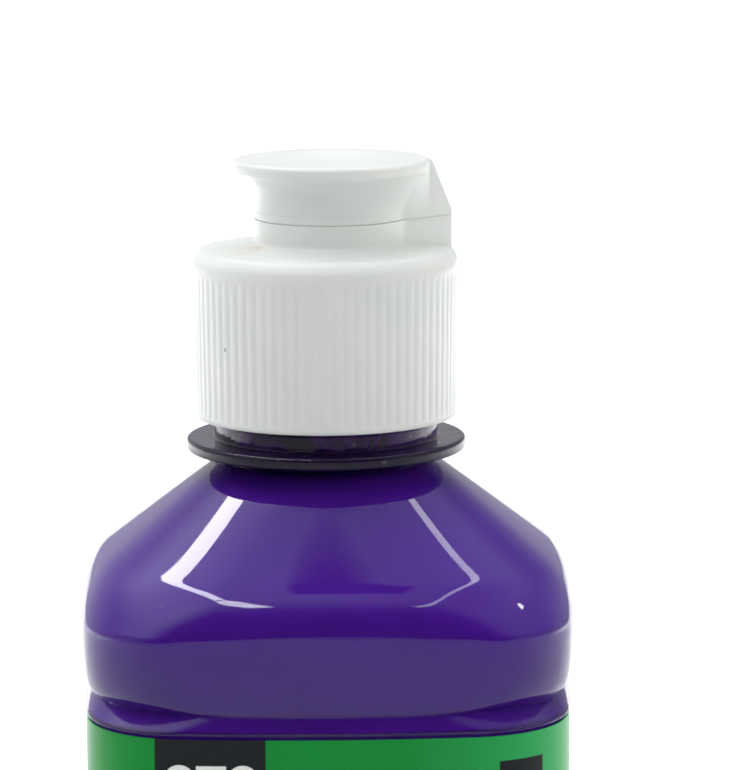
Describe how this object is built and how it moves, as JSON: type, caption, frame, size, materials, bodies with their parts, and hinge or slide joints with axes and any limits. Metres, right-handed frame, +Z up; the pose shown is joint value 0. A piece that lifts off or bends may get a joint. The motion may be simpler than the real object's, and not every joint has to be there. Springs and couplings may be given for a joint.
{
  "type": "squeeze bottle of poster paint",
  "caption": "Square clear squeeze bottle of purple poster paint with a wrap-round label and a ribbed screw cap with a flip-top lid.",
  "frame": {"origin": "centre of the bottle's foot, at the height of the surface it stands on", "axes": "+Z up along the neck's axis; the front of the label faces -Y; +X is to the right when facing the label"},
  "size_m": [0.0586, 0.0586, 0.1323],
  "materials": {
    "clear_pet": "clear, glossy",
    "purple_paint": "wet, seen through the clear wall",
    "printed_film": "printed film, semi-gloss",
    "white_polypropylene": "satin",
    "foam_liner": "matte foam"
  },
  "bodies": {
    "bottle": {"bottle_body": "clear_pet", "paint_fill": "purple_paint", "wrap_label": "printed_film"},
    "liner": {"liner_ring": "foam_liner"},
    "cap": {"cap_base": "white_polypropylene", "living_hinge": "white_polypropylene"},
    "lid": {"flip_lid": "white_polypropylene"}
  },
  "joints": [
    {"name": "cap_lift", "type": "slide", "parent": "bottle", "child": "liner", "axis": [0, 0, 1], "range_m": [0, 0.00716]},
    {"name": "cap_turn", "type": "hinge", "parent": "liner", "child": "cap", "pos_m": [0, 0, 0.102], "axis": [0, 0, 1], "range_deg": [0, 810]},
    {"name": "lid_flip", "type": "hinge", "parent": "cap", "child": "lid", "pos_m": [0.01141, 0.00958, 0.1255], "axis": [-0.6428, 0.766, 0], "range_deg": [0, 130], "deforming": ["living_hinge"]}
  ],
  "couplings": [
    {"joint": "cap_lift", "follows": "cap_turn", "m_per_rad": 0.00050611}
  ]
}
